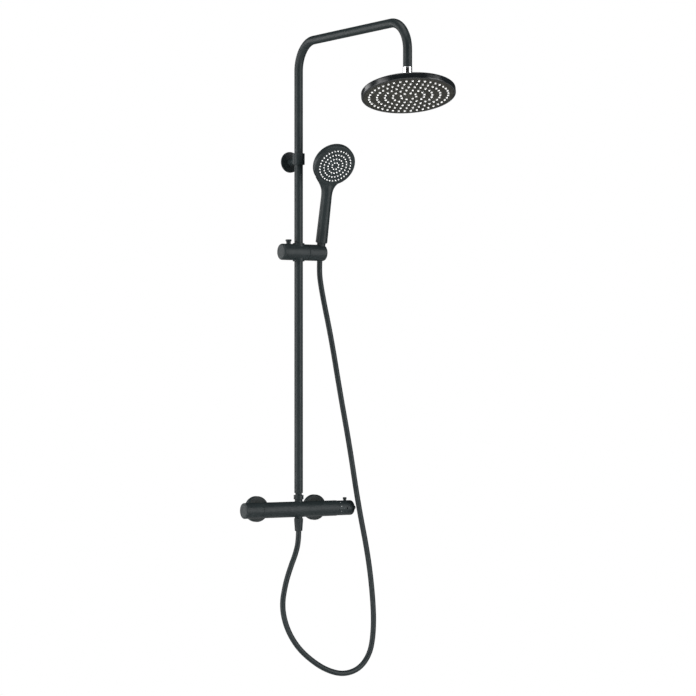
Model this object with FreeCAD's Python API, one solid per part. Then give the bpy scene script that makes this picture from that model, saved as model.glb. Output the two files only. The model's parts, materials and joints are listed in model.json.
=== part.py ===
import FreeCAD, Part
import math
import os

V = FreeCAD.Vector
X_AXIS = V(1, 0, 0)
Y_AXIS = V(0, 1, 0)
Z_AXIS = V(0, 0, 1)

# Driving dimensions, in millimetres. The wall is the plane Y = 0, +Z is up, and the origin is
# midway between the two inlets at the height of the valve's axis.
INLET_X = 75.0            # half of the 150 mm inlet centres
STAND_OFF = 61.0          # wall to the axis of the valve bar and of the riser
AXIS_Y = -STAND_OFF
RUN_GAP = 0.1             # radial clearance of a shaft in its bearing
JOINT_GAP = 0.4           # gap between faces that turn past each other
THREAD_GAP = 0.05         # gap between pieces that are screwed or pushed together

# Valve bar
BAR_R = 17.25
BAR_LEFT = -98.0
BAR_RIGHT = 97.0
BAR_MOUTH_R = 15.0
BAR_MOUTH_DEPTH = 10.0
CARTRIDGE_R = 12.0
CARTRIDGE_DEPTH = 54.0
PORT_R = 5.0
SPINDLE_R = 4.0

# Inlets
STUD_R = 10.48            # G 1/2 thread, outside
STUD_LENGTH = 20.0
UNION_THREAD_R = 13.2     # G 3/4 thread, outside
UNION_R = 15.8
ROSETTE_R = 28.5
ROSETTE_DEPTH = 12.0
SHEET = 1.5

# Knobs
KNOB_LEFT_END = -140.0
KNOB_RIGHT_END = 138.0
KNOB_RIGHT_R = 16.5
KNOB_WALL = 3.0
BUTTON_X = 120.5
BUTTON_R = 4.2
BUTTON_STEM_R = 3.2
BUTTON_TOP = 23.4

# Riser, upper bracket and arm
TUBE_R = 9.5
TUBE_WALL = 1.2
BORE_R = TUBE_R - TUBE_WALL
SPIGOT_R = 8.2
RISER_FOOT = 36.0
RISER_TAIL_R = 7.3
JOINT_Z = 772.8           # where the arm turns on the lower tube
BRACKET_Z = 768.0
SLEEVE_R = 13.5
SLEEVE_LOW = 763.1
SLEEVE_HIGH = 785.0
STUB_R = 8.0
COVER_R = 23.0
COVER_Y = -24.4
BRACKET_THREAD_R = 4.0    # M8, for the hanger bolt in the wall
BRACKET_THREAD_DEPTH = 24.6
ARM_Z = 1028.0
ARM_REACH = 430.0
BEND_R = 62.0
DROP_Z = 930.0

# Rain head
BALL_Z = 903.0
BALL_R = 9.0
BALL_TO_FACE = 35.0
SEAT_R = 10.6
HEAD_R = 97.5
HEAD_RIM = 13.2
HEAD_PLATE_R = 93.0
HEAD_TILT = -14.8         # about X, from straight down
HEAD_LEAN = 5.4           # about Y, from straight down
HEAD_RINGS = 5
HEAD_RING_STEP = 16.35
NOZZLES_PER_RING = 8
NOZZLE_R = 2.15
HEAD_NOZZLE_TURN = -18.0  # where the first nozzle of each ring is, degrees

# Slider and handset holder
SLIDER_Z = 567.0
SLIDER_R = 18.0
SLIDER_LEFT = -46.0
SLIDER_SEAM = 19.3
HOLDER_END = 66.0
SLIDER_EDGE = 4.0
BOSS_R = 13.0
BOSS_HALF = 20.0
BUSH_R = 11.0
RELEASE_X = -26.0
RELEASE_R = 5.0
RELEASE_HEAD_R = 6.6
SOCKET_X = 56.3
HANDLE_LEAN = 11.8        # handle out of plumb, towards the bather
HANDLE_SPIN = -6.06       # handset turned about its handle
SLOT_HALF = 6.5

# Handset, measured along the handle from the slider's axis
NUT_LOW = -17.5
NUT_HIGH = 22.6
NUT_LOW_R = 7.5
NUT_HIGH_R = 9.7
HANDLE_FOOT_R = 13.05
HANDLE_TOP_R = 11.9
HANDLE_TOP = 128.0
HANDSET_R = 48.0
HANDSET_PLATE_R = 41.0
HANDSET_FACE_Y = -27.2
HANDSET_FACE_Z = 197.6
HANDSET_DIP = 19.7
HANDSET_RINGS = ((8, 8.0), (16, 17.2), (24, 26.7), (32, 36.3))
HANDSET_NOZZLE_R = 1.45
HANDSET_NOZZLE_TURN = 17.6

# Hose
HOSE_R = 6.0
HOSE_BORE_R = 4.0
OUTLET_NUT_LOW = -48.0
HOSE_ROUTE = [
    (56.3, -62.7, 575), (56.3, -53.9, 533), (66.5, -52, 478), (87, -58, 378), (103, -69, 258),
    (122, -80, 135), (138, -89, 10), (163.5, -94, -115), (175.5, -95, -222), (175, -94.5, -285),
    (165.5, -94, -327.5), (138.5, -93.6, -358), (97, -92.8, -368), (53, -91, -355.5),
    (13, -88.5, -330), (-20, -85, -299), (-44, -81, -257), (-53, -77, -210), (-41, -72, -163),
    (-25, -67.5, -127), (-9, -63.5, -97), (-0.5, -61.2, -71), (0, -61, -48.1),
]


def turned(outline, origin=V(0, 0, 0), axis=Z_AXIS):
    """Solid of revolution: outline is a closed list of (radius, distance along the axis)."""
    points = [V(radius, 0, along) for radius, along in outline]
    face = Part.Face(Part.makePolygon(points + points[:1]))
    solid = face.revolve(V(0, 0, 0), Z_AXIS, 360)
    solid.Placement = FreeCAD.Placement(origin, FreeCAD.Rotation(Z_AXIS, axis))
    return solid


def ring(outer, inner, low, high, origin=V(0, 0, 0), axis=Z_AXIS):
    return turned([(inner, low), (outer, low), (outer, high), (inner, high)], origin, axis)


def rod(radius, low, high, origin=V(0, 0, 0), axis=Z_AXIS):
    return Part.makeCylinder(radius, high - low, origin + axis * low, axis)


def box(low, high):
    return Part.makeBox(high[0] - low[0], high[1] - low[1], high[2] - low[2], V(*low))


def fillet_at(shape, radius, chosen):
    """Rounds the edges that satisfy chosen."""
    edges = [edge for edge in shape.Edges if chosen(edge)]
    return shape.makeFillet(radius, edges)


def circles(radius, axis, place):
    """Chooses the circles of one radius that lie across an axis at one place."""
    def chosen(edge):
        curve = edge.Curve
        if not isinstance(curve, Part.Circle):
            return False
        centre = getattr(curve.Center, axis)
        return abs(curve.Radius - radius) < 0.01 and abs(centre - place) < 0.01
    return chosen


def save(node, *shapes):
    solids = [solid for shape in shapes for solid in shape.Solids]
    shape = solids[0] if len(solids) == 1 else Part.makeCompound(solids)
    if not shape.isValid():
        raise RuntimeError(node + " is not valid")
    shape.exportStep("parts/" + node + ".step")


BAR = V(0, AXIS_Y, 0)
RISER = V(0, AXIS_Y, 0)


# Valve bar, cartridges and inlets

def valve_body():
    body = rod(BAR_R, BAR_LEFT, BAR_RIGHT, BAR, X_AXIS)
    for side in (-1, 1):
        inlet = V(side * INLET_X, AXIS_Y, 0)
        body = body.fuse([rod(11.0, 0, 23, inlet, Y_AXIS), rod(12.4, 20, 23, inlet, Y_AXIS)])
    body = body.fuse([rod(8.5, 10, 21.6, BAR), rod(8.2, 20, 26.5, BAR)])
    body = body.fuse([rod(8.5, -20, -10, BAR), rod(7.0, -30, -19, BAR)])
    cuts = [
        rod(BAR_MOUTH_R, BAR_LEFT, BAR_LEFT + BAR_MOUTH_DEPTH, BAR, X_AXIS),
        rod(BAR_MOUTH_R, BAR_RIGHT - BAR_MOUTH_DEPTH, BAR_RIGHT, BAR, X_AXIS),
        rod(CARTRIDGE_R, BAR_LEFT, BAR_LEFT + CARTRIDGE_DEPTH, BAR, X_AXIS),
        rod(CARTRIDGE_R, BAR_RIGHT - CARTRIDGE_DEPTH, BAR_RIGHT, BAR, X_AXIS),
        rod(PORT_R, BAR_LEFT, BAR_RIGHT, BAR, X_AXIS),
        rod(PORT_R, -30, 26.5, BAR),
    ]
    for side in (-1, 1):
        inlet = V(side * INLET_X, AXIS_Y, 0)
        cuts += [rod(PORT_R, 8, 30, inlet, Y_AXIS), rod(8.0, 13, 23, inlet, Y_AXIS)]
    return body.cut(cuts)


def cartridge(side, mouth):
    """Cartridge with its spindle bore, pushed in from one end of the bar."""
    outline = [
        (SPINDLE_R + RUN_GAP, 0), (7.5, 0), (7.5, 9), (CARTRIDGE_R - THREAD_GAP, 9.6),
        (CARTRIDGE_R - THREAD_GAP, 50), (9.0, 53), (0, 53), (0, 26), (SPINDLE_R + RUN_GAP, 26),
    ]
    return turned(outline, V(mouth, AXIS_Y, 0), X_AXIS * -side)


def cartridge_nut(side, mouth):
    return ring(BAR_MOUTH_R - THREAD_GAP, 7.7, 1.5, 8.9, V(mouth, AXIS_Y, 0), X_AXIS * -side)


def inlet_connector(side):
    outline = [
        (7.5, -35), (UNION_THREAD_R - THREAD_GAP, -35), (UNION_THREAD_R - THREAD_GAP, -14),
        (11.5, -13), (11.5, -0.5), (STUD_R, -0.5), (STUD_R, STUD_LENGTH), (7.5, STUD_LENGTH),
    ]
    return turned(outline, V(side * INLET_X, 0, 0), Y_AXIS)


def inlet_union_nut(side):
    """Captive nut that draws the bar onto its connector."""
    outline = [
        (11.4, -43.2), (UNION_R - 1, -43.2), (UNION_R, -42.2), (UNION_R, -25), (UNION_R - 1, -24),
        (UNION_THREAD_R, -24), (UNION_THREAD_R, -41.2), (11.4, -41.2),
    ]
    nut = turned(outline, V(side * INLET_X, 0, 0), Y_AXIS)
    for flat in range(2):
        across = V(side * INLET_X, 0, 14.6 if flat else -14.6 - 4)
        corner = (across.x - 20, -40, across.z)
        nut = nut.cut(box(corner, (across.x + 20, -28, across.z + 4)))
    return nut


def inlet_rosette(side):
    """Shallow domed cover that slides up to the wall over the connector."""
    edge = 3.0
    hole = UNION_THREAD_R + 0.4
    outline = [
        (hole, -ROSETTE_DEPTH), (ROSETTE_R - edge, -ROSETTE_DEPTH),
        (ROSETTE_R - edge * 0.3, -ROSETTE_DEPTH + edge * 0.3), (ROSETTE_R, -ROSETTE_DEPTH + edge),
        (ROSETTE_R, -0.3), (ROSETTE_R - SHEET, -0.3), (ROSETTE_R - SHEET, -ROSETTE_DEPTH + edge),
        (ROSETTE_R - edge, -ROSETTE_DEPTH + SHEET), (hole, -ROSETTE_DEPTH + SHEET),
    ]
    return turned(outline, V(side * INLET_X, 0, 0), Y_AXIS)


def filter_washer(side):
    rim = ring(12.3, 7.0, -37.9, -35.1, V(side * INLET_X, 0, 0), Y_AXIS)
    return rim.fuse(rod(7.5, -37, -36.4, V(side * INLET_X, 0, 0), Y_AXIS))


def check_valve(side):
    outline = [(2.5, 13.2), (7.9, 13.2), (7.9, 22.5), (4.5, 22.5), (2.5, 18)]
    return turned(outline, V(side * INLET_X, AXIS_Y, 0), Y_AXIS)


def make_valve():
    save("valve_body", valve_body())
    save("flow_cartridge", cartridge(-1, BAR_LEFT))
    save("thermostatic_cartridge", cartridge(1, BAR_RIGHT))
    save("cartridge_nuts", cartridge_nut(-1, BAR_LEFT), cartridge_nut(1, BAR_RIGHT))
    save("filter_washers", filter_washer(-1), filter_washer(1))
    save("check_valves", check_valve(-1), check_valve(1))
    for side, word in ((-1, "left"), (1, "right")):
        save("inlet_connector_" + word, inlet_connector(side))
        save("inlet_union_nut_" + word, inlet_union_nut(side))
        save("inlet_rosette_" + word, inlet_rosette(side))


# Knobs, drawn along the bar from the end of the bar outwards

def knob_shell(side, mouth, length, radius, edge):
    inner = radius - KNOB_WALL
    end = length - 5
    outline = [
        (SPINDLE_R + THREAD_GAP, 4), (7.0, 4), (7.0, end), (inner, end), (inner, JOINT_GAP),
        (radius, JOINT_GAP), (radius, length), (5.0, length), (5.0, length - 3.4),
        (2.2, length - 3.4), (2.2, 20), (SPINDLE_R + THREAD_GAP, 20),
    ]
    knob = turned(outline, V(mouth, AXIS_Y, 0), X_AXIS * side)
    return fillet_at(knob, edge, circles(radius, "x", mouth + side * length))


def spindle(side, mouth):
    outline = [(1.5, 12), (SPINDLE_R, 12), (SPINDLE_R, -24), (0, -24), (0, 0), (1.5, 0)]
    return turned(outline, V(mouth, AXIS_Y, 0), X_AXIS * side)


def knob_screw(side, mouth, length):
    outline = [
        (0, length - 1.2), (3.8, length - 1.2), (3.8, length - 3.3), (2.0, length - 3.3),
        (2.0, 12.2), (0, 12.2),
    ]
    return turned(outline, V(mouth, AXIS_Y, 0), X_AXIS * side)


def temperature_knob(length):
    knob = knob_shell(1, BAR_RIGHT, length, KNOB_RIGHT_R, SLIDER_EDGE)
    hole = rod(BUTTON_STEM_R + RUN_GAP, 9, 20, V(BUTTON_X, AXIS_Y, 0))
    return knob.cut(hole)


def safety_button():
    outline = [
        (0, 10.6), (4.3, 10.6), (4.3, 12.2), (BUTTON_STEM_R, 12.2), (BUTTON_STEM_R, 18.6),
        (BUTTON_R, 18.6), (BUTTON_R, BUTTON_TOP - 0.8), (BUTTON_R - 0.8, BUTTON_TOP),
        (0, BUTTON_TOP),
    ]
    return turned(outline, V(BUTTON_X, AXIS_Y, 0))


def make_knobs():
    left_length = BAR_LEFT - KNOB_LEFT_END
    left_knob = knob_shell(-1, BAR_LEFT, left_length, BAR_R, 1.5)
    left_face = V(KNOB_LEFT_END, AXIS_Y, 0)
    recess = rod(14.6, -1.2, 1, left_face, X_AXIS * -1)
    save("diverter_knob", left_knob.cut(recess))
    cap = rod(14.5, -1.1, 0.4, left_face, X_AXIS * -1)
    save("diverter_knob_cap", fillet_at(cap, 0.35, circles(14.5, "x", KNOB_LEFT_END - 0.4)))
    save("diverter_spindle", spindle(-1, BAR_LEFT))
    save("diverter_knob_screw", knob_screw(-1, BAR_LEFT, left_length))

    right_length = KNOB_RIGHT_END - BAR_RIGHT
    save("temperature_knob", temperature_knob(right_length))
    save("temperature_spindle", spindle(1, BAR_RIGHT))
    save("temperature_knob_screw", knob_screw(1, BAR_RIGHT, right_length))
    nub = [(0, -1.1), (4.9, -1.1), (4.9, 0.05), (6.5, 0.05), (6.3, 1.5), (4.4, 8.6), (3.4, 9.5), (0, 9.5)]
    save("temperature_knob_cap", turned(nub, V(KNOB_RIGHT_END, AXIS_Y, 0), X_AXIS))
    save("safety_button", safety_button())
    save("safety_button_spring", ring(3.6, 2.6, 7.1, 10.5, V(BUTTON_X, AXIS_Y, 0)))


# Riser, upper bracket and arm

def lower_riser_tube():
    outline = [
        (5.0, 28.1), (7.8, 28.1), (7.8, 29.4), (RISER_TAIL_R, 29.4), (RISER_TAIL_R, RISER_FOOT),
        (TUBE_R - 0.6, RISER_FOOT), (TUBE_R, RISER_FOOT + 0.6), (TUBE_R, JOINT_Z - 0.2),
        (BORE_R, JOINT_Z - 0.2), (BORE_R, RISER_FOOT + 6), (5.0, RISER_FOOT + 3),
    ]
    return turned(outline, RISER)


def riser_nut():
    outline = [
        (8.3, 21.8), (10.4, 21.8), (10.9, 22.3), (10.9, 31.0), (10.4, 31.5),
        (RISER_TAIL_R + THREAD_GAP, 31.5), (RISER_TAIL_R + THREAD_GAP, 29.5), (8.3, 29.5),
    ]
    return turned(outline, RISER)


def riser_coupling():
    plug = ring(SPIGOT_R, 6.0, 742, 806, RISER)
    grooves = [ring(9, 6.9, z - 1.2, z + 1.2, RISER) for z in (756, 790)]
    return plug.cut(grooves)


def coupling_o_ring(z):
    seal = Part.makeTorus(7.55, 0.6)
    seal.translate(RISER + V(0, 0, z))
    return seal


def bracket_sleeve():
    sleeve = ring(SLEEVE_R, TUBE_R + 0.35, SLEEVE_LOW, SLEEVE_HIGH, RISER)
    sleeve = fillet_at(sleeve, 0.8, circles(SLEEVE_R, "z", SLEEVE_LOW))
    sleeve = fillet_at(sleeve, 0.8, circles(SLEEVE_R, "z", SLEEVE_HIGH))
    centre = V(0, AXIS_Y, BRACKET_Z)
    socket = ring(STUB_R, 5.0, 11.5, 19.5, centre, Y_AXIS)
    hole = rod(1.95, -9, -2, V(0, AXIS_Y + 16.5, BRACKET_Z))
    return sleeve.fuse(socket).cut([rod(5.0, 10.5, 19.5, centre, Y_AXIS), hole])


def bracket_stub():
    """Round stub with a blind thread in its back; its front spigot fills the sleeve's socket."""
    bottom = -0.4 - BRACKET_THREAD_DEPTH
    outline = [
        (0, -49.5), (4.95, -49.5), (4.95, -41.4), (STUB_R, -41.4), (STUB_R, -0.4),
        (BRACKET_THREAD_R, -0.4), (BRACKET_THREAD_R, bottom), (0, bottom),
    ]
    return turned(outline, V(0, 0, BRACKET_Z), Y_AXIS)


def bracket_rosette():
    outline = [
        (STUB_R + RUN_GAP, 1.5), (COVER_R, 1.5), (COVER_R, -0.6), (COVER_R - 0.9, -1.5),
        (STUB_R + RUN_GAP, -1.5),
    ]
    return turned(outline, V(0, COVER_Y, BRACKET_Z), Y_AXIS)


def arm_path(straight_foot, straight_end):
    out_y = AXIS_Y - ARM_REACH
    low_z = ARM_Z - BEND_R
    diagonal = BEND_R * math.cos(math.radians(45))
    first = V(0, AXIS_Y - BEND_R + diagonal, low_z + diagonal)
    second = V(0, out_y + BEND_R - diagonal, low_z + diagonal)
    up = Part.LineSegment(V(0, AXIS_Y, straight_foot), V(0, AXIS_Y, low_z))
    bend_one = Part.Arc(V(0, AXIS_Y, low_z), first, V(0, AXIS_Y - BEND_R, ARM_Z))
    across = Part.LineSegment(V(0, AXIS_Y - BEND_R, ARM_Z), V(0, out_y + BEND_R, ARM_Z))
    bend_two = Part.Arc(V(0, out_y + BEND_R, ARM_Z), second, V(0, out_y, low_z))
    down = Part.LineSegment(V(0, out_y, low_z), V(0, out_y, straight_end))
    return Part.Wire([piece.toShape() for piece in (up, bend_one, across, bend_two, down)])


def swept(path, start, direction, radius):
    circle = Part.Wire(Part.makeCircle(radius, start, direction))
    return path.makePipeShell([circle], True, True)


def arm_tube():
    foot = JOINT_Z + 0.2
    path = arm_path(foot, DROP_Z)
    start = V(0, AXIS_Y, foot)
    return swept(path, start, Z_AXIS, TUBE_R).cut(swept(path, start, Z_AXIS, BORE_R))


def ball_joint():
    """Chrome connector: spigot up the drop, collar, neck and the ball it ends in."""
    out = V(0, AXIS_Y - ARM_REACH, 0)
    outline = [
        (3.5, DROP_Z + 18), (SPIGOT_R, DROP_Z + 18), (SPIGOT_R, DROP_Z - 0.1),
        (TUBE_R + 0.2, DROP_Z - 0.1), (TUBE_R + 0.2, 918.5), (TUBE_R - 0.8, 917.5), (4.2, 917.5),
        (4.2, BALL_Z + 6), (3.5, BALL_Z + 6),
    ]
    stem = turned(outline, out)
    ball = Part.makeSphere(BALL_R, out + V(0, 0, BALL_Z))
    return stem.fuse(ball).cut(rod(3.5, BALL_Z - BALL_R - 1, DROP_Z + 19, out))


def make_riser():
    save("riser_seal", ring(7.7, 5.0, 26.6, 28.0, RISER))
    save("riser_nut", riser_nut())
    save("lower_riser_tube", lower_riser_tube())
    save("riser_coupling", riser_coupling())
    save("coupling_o_rings", coupling_o_ring(756), coupling_o_ring(790))
    save("bracket_sleeve", bracket_sleeve())
    save("bracket_stub", bracket_stub())
    save("bracket_grub_screw", rod(1.9, -7.8, -5.1, V(0, AXIS_Y + 16.5, BRACKET_Z)))
    save("bracket_rosette", bracket_rosette())
    save("arm_tube", arm_tube())
    save("ball_joint", ball_joint())


# Rain head, drawn face down at the origin with its back towards +Z, then tilted into place

def head_placement():
    tilt = FreeCAD.Rotation(X_AXIS, HEAD_TILT)
    lean = FreeCAD.Rotation(Y_AXIS, HEAD_LEAN)
    turn = tilt.multiply(lean)
    ball = V(0, AXIS_Y - ARM_REACH, BALL_Z)
    return FreeCAD.Placement(ball - turn.multVec(V(0, 0, BALL_TO_FACE)), turn)


def placed(shape, placement):
    moved = shape.copy()
    moved.Placement = placement.multiply(moved.Placement)
    return moved


def ring_points(count, radius, turn):
    for index in range(count):
        angle = math.radians(turn + 360 * index / count)
        yield V(radius * math.cos(angle), radius * math.sin(angle), 0)


def head_nozzle_points():
    for number in range(1, HEAD_RINGS + 1):
        yield from ring_points(NOZZLES_PER_RING * number, HEAD_RING_STEP * number, HEAD_NOZZLE_TURN)


def handset_nozzle_points():
    for count, radius in HANDSET_RINGS:
        yield from ring_points(count, radius, HANDSET_NOZZLE_TURN)


def spray_plate(radius, thickness, points, hole_r):
    plate = rod(radius, 0, thickness)
    plate = fillet_at(plate, 0.6, circles(radius, "z", 0))
    return plate.cut([rod(hole_r, -1, thickness + 1, point) for point in points])


def nozzle_mat(radius, low, thickness, points, nozzle_r, reach):
    """Silicone mat whose nozzles pass through the spray plate."""
    mat = rod(radius, low, low + thickness)
    tips = []
    for point in points:
        tips.append(Part.makeCone(nozzle_r * 0.8, nozzle_r, low + reach + 0.2, point + V(0, 0, -reach)))
    return mat.fuse(tips)


def head_back_shell():
    outline = [
        (HEAD_PLATE_R + 0.2, 0), (HEAD_R - 1.2, 0), (HEAD_R, 1.2), (HEAD_R, HEAD_RIM - 2),
        (HEAD_R - 2, HEAD_RIM), (24, 16), (17.5, 17.5), (17.5, 27), (11.2, 27), (11.2, 14),
        (HEAD_R - 6, 9), (HEAD_R - 3, 7), (HEAD_R - 3, 2.8), (HEAD_PLATE_R + 0.2, 2.8),
    ]
    return turned(outline)


def ball_seat():
    """Low-friction cup round the ball, a zone of a hollow sphere."""
    centre = V(0, 0, BALL_TO_FACE)
    zone = rod(SEAT_R + 1, BALL_TO_FACE - 7.5, BALL_TO_FACE + 1.5)
    return zone.common(Part.makeSphere(SEAT_R, centre)).cut(Part.makeSphere(BALL_R + 0.3, centre))


def ball_retaining_nut():
    outline = [
        (11.3, 27.3), (16.4, 27.3), (17.2, 28.1), (17.2, 38.5), (14.0, BALL_TO_FACE + 6),
        (7.4, BALL_TO_FACE + 6), (11.3, 33.5),
    ]
    nut = turned(outline)
    return nut.cut(Part.makeSphere(SEAT_R + 0.3, V(0, 0, BALL_TO_FACE)))


def make_rain_head():
    place = head_placement()
    points = list(head_nozzle_points())
    plate = spray_plate(HEAD_PLATE_R, 2.6, points, NOZZLE_R + 0.25)
    mat = nozzle_mat(88.0, 2.7, 1.6, points, NOZZLE_R, 1.6)
    pieces = {
        "head_face_plate": plate,
        "head_nozzle_mat": mat,
        "head_back_shell": head_back_shell(),
        "head_inlet_washer": ring(11.0, 5.0, 21.6, 23.9),
        "ball_seat": ball_seat(),
        "ball_retaining_nut": ball_retaining_nut(),
    }
    for node, shape in pieces.items():
        save(node, placed(shape, place))


# Slider on the riser

SLIDER = V(0, AXIS_Y, SLIDER_Z)


def slider_body():
    body = rod(SLIDER_R, SLIDER_LEFT + 8, SLIDER_SEAM, SLIDER, X_AXIS)
    boss = rod(BOSS_R, -BOSS_HALF, BOSS_HALF, SLIDER)
    cuts = [
        rod(BUSH_R + THREAD_GAP, -25, 25, SLIDER),
        rod(5.0 + RUN_GAP, 12.4, 20, SLIDER, X_AXIS),
        rod(9.2, 17.2, 20, SLIDER, X_AXIS),
        box((-34.5, AXIS_Y - 6.3, SLIDER_Z - 6.3), (-8, AXIS_Y + 6.3, SLIDER_Z + 6.3)),
        rod(RELEASE_R + RUN_GAP, 0, 20, V(RELEASE_X, AXIS_Y, SLIDER_Z)),
        rod(12.0, SLIDER_LEFT, -36.0, SLIDER, X_AXIS),
    ]
    return body.fuse(boss).cut(cuts)


def slider_bush():
    bush = ring(BUSH_R, TUBE_R + RUN_GAP, -19.5, 19.5, SLIDER)
    window = box((-14, AXIS_Y - 6.4, SLIDER_Z - 6.4), (-5, AXIS_Y + 6.4, SLIDER_Z + 6.4))
    return bush.cut(window)


def slider_end_cap():
    cap = rod(SLIDER_R, SLIDER_LEFT, SLIDER_LEFT + 7.9, SLIDER, X_AXIS)
    cap = fillet_at(cap, SLIDER_EDGE, circles(SLIDER_R, "x", SLIDER_LEFT))
    return cap.fuse(rod(11.9, SLIDER_LEFT + 7, -36.1, SLIDER, X_AXIS))


def clamp_jaw():
    """Brake shoe with a hollow face to the riser and a slot round the release button."""
    jaw = box((-33, AXIS_Y - 5.9, SLIDER_Z - 5.9), (-8, AXIS_Y + 5.9, SLIDER_Z + 5.9))
    slot = rod(5.0, -7, 7, V(RELEASE_X, AXIS_Y, SLIDER_Z))
    trim = box((RELEASE_X - 1.6, AXIS_Y - 5.0, SLIDER_Z - 7), (RELEASE_X, AXIS_Y + 5.0, SLIDER_Z + 7))
    slot_end = rod(5.0, -7, 7, V(RELEASE_X + 1.6, AXIS_Y, SLIDER_Z))
    trim_end = box((RELEASE_X, AXIS_Y - 5.0, SLIDER_Z - 7), (RELEASE_X + 1.6, AXIS_Y + 5.0, SLIDER_Z + 7))
    return jaw.cut([slot, trim, slot_end, trim_end, rod(TUBE_R + 0.35, -8, 8, SLIDER)])


def release_button():
    outline = [
        (0, 6.7), (RELEASE_R - 0.6, 6.7), (RELEASE_R, 7.3), (RELEASE_R, 23.0),
        (RELEASE_HEAD_R, 23.6), (RELEASE_HEAD_R, 26.7), (RELEASE_HEAD_R - 0.8, 27.5), (0, 27.5),
    ]
    return turned(outline, V(RELEASE_X, AXIS_Y, SLIDER_Z))


# Holder and handset, drawn upright along the handle, then leaned into place

def handle_placement():
    return FreeCAD.Placement(V(SOCKET_X, AXIS_Y, SLIDER_Z), FreeCAD.Rotation(X_AXIS, HANDLE_LEAN))


def nut_radius(along):
    share = (along - NUT_LOW) / (NUT_HIGH - NUT_LOW)
    return NUT_LOW_R + share * (NUT_HIGH_R - NUT_LOW_R)


def handset_holder():
    """Right half of the slider: it turns on its axle and takes the cone nut in an open socket."""
    holder = rod(SLIDER_R, SLIDER_SEAM + JOINT_GAP, HOLDER_END, SLIDER, X_AXIS)
    holder = fillet_at(holder, SLIDER_EDGE, circles(SLIDER_R, "x", HOLDER_END))
    holder = holder.fuse(rod(5.0, 12.8, 25, SLIDER, X_AXIS))
    gap = 0.35
    reach = 24.0
    socket = turned([
        (0, -reach), (nut_radius(-reach) + gap, -reach), (nut_radius(reach) + gap, reach), (0, reach),
    ])
    slot = box((0, -SLOT_HALF, -reach), (20, SLOT_HALF, reach))
    place = handle_placement()
    return holder.cut([placed(socket, place), placed(slot, place)])


def hose_cone_nut():
    outline = [
        (HOSE_R + 0.35, NUT_LOW), (NUT_LOW_R, NUT_LOW), (NUT_HIGH_R, NUT_HIGH), (8.2, NUT_HIGH),
        (8.2, 10.4), (HOSE_R + 0.35, 10.4),
    ]
    return turned(outline)


def neck_section(along, back, half_width, half_depth):
    curve = Part.Ellipse(V(0, back, along), half_width, half_depth)
    return Part.Wire(curve.toShape())


def head_shell_blank():
    """Outer form of the handset's head, face at zero and back towards +Z."""
    outline = [
        (0, 0.8), (HANDSET_PLATE_R + 0.2, 0.8), (HANDSET_PLATE_R + 0.2, 0), (HANDSET_R - 2, 0),
        (HANDSET_R - 0.5, 1), (HANDSET_R, 3), (HANDSET_R, 13), (HANDSET_R - 2, 16.5),
        (HANDSET_R - 8, 19.5), (HANDSET_R - 22, 22.5), (0, 24),
    ]
    return turned(outline)


def handset_head_placement():
    turn = FreeCAD.Rotation(X_AXIS, -90 + HANDSET_DIP)
    return FreeCAD.Placement(V(0, HANDSET_FACE_Y, HANDSET_FACE_Z), turn)


def handset_body():
    foot = NUT_HIGH + 0.2
    handle = turned([
        (0, foot), (HANDLE_FOOT_R - 0.8, foot), (HANDLE_FOOT_R, foot + 0.8),
        (HANDLE_TOP_R, HANDLE_TOP), (0, HANDLE_TOP),
    ])
    spigot = rod(8.1, 12, foot + 1)
    sections = [
        neck_section(HANDLE_TOP - 8, 0, HANDLE_TOP_R - 0.3, HANDLE_TOP_R - 0.4),
        neck_section(138, 0.2, 13.0, 11.8),
        neck_section(150, 0, 18.2, 10.8),
        neck_section(160, -3, 27.0, 9.0),
        neck_section(168, -6, 34.5, 7.5),
    ]
    neck = Part.makeLoft(sections, True)
    head = placed(head_shell_blank(), handset_head_placement())
    chamber = placed(rod(HANDSET_PLATE_R - 3, 0, 9), handset_head_placement())
    waterway = rod(5.5, 12, 165)
    return handle.fuse([spigot, neck, head]).cut([chamber, waterway])


def make_slider():
    save("slider_body", slider_body())
    save("slider_bush", slider_bush())
    save("slider_end_cap", slider_end_cap())
    save("clamp_jaw", clamp_jaw())
    save("release_button", release_button())
    save("release_spring", ring(4.4, 3.4, -6.2, 6.6, V(RELEASE_X, AXIS_Y, SLIDER_Z)))
    save("holder_friction_ring", ring(9.0, 5.3, 17.3, 19.6, SLIDER, X_AXIS))
    save("handset_holder", handset_holder())


def make_handset():
    handle = handle_placement()
    spun = handle.multiply(FreeCAD.Placement(V(0, 0, 0), FreeCAD.Rotation(Z_AXIS, HANDLE_SPIN)))
    head = spun.multiply(handset_head_placement())
    points = list(handset_nozzle_points())
    save("hose_cone_nut", placed(hose_cone_nut(), handle))
    save("hose_handset_washer", placed(ring(8.0, 5.6, 10.5, 11.9), handle))
    save("handset_body", placed(handset_body(), spun))
    plate = spray_plate(HANDSET_PLATE_R, 0.7, points, HANDSET_NOZZLE_R + 0.15).cut(rod(3.0, -1, 2))
    save("handset_face_plate", placed(plate, head))
    mat = nozzle_mat(HANDSET_PLATE_R - 3.1, 0.8, 1.2, points, HANDSET_NOZZLE_R, 1.0)
    save("handset_nozzle_mat", placed(mat.cut(rod(3.0, -1, 3)), head))
    screw = rod(2.9, -0.6, 2.1).fuse(rod(1.6, 2, 8.5))
    save("handset_centre_screw", placed(screw, head))


# Hose

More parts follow.
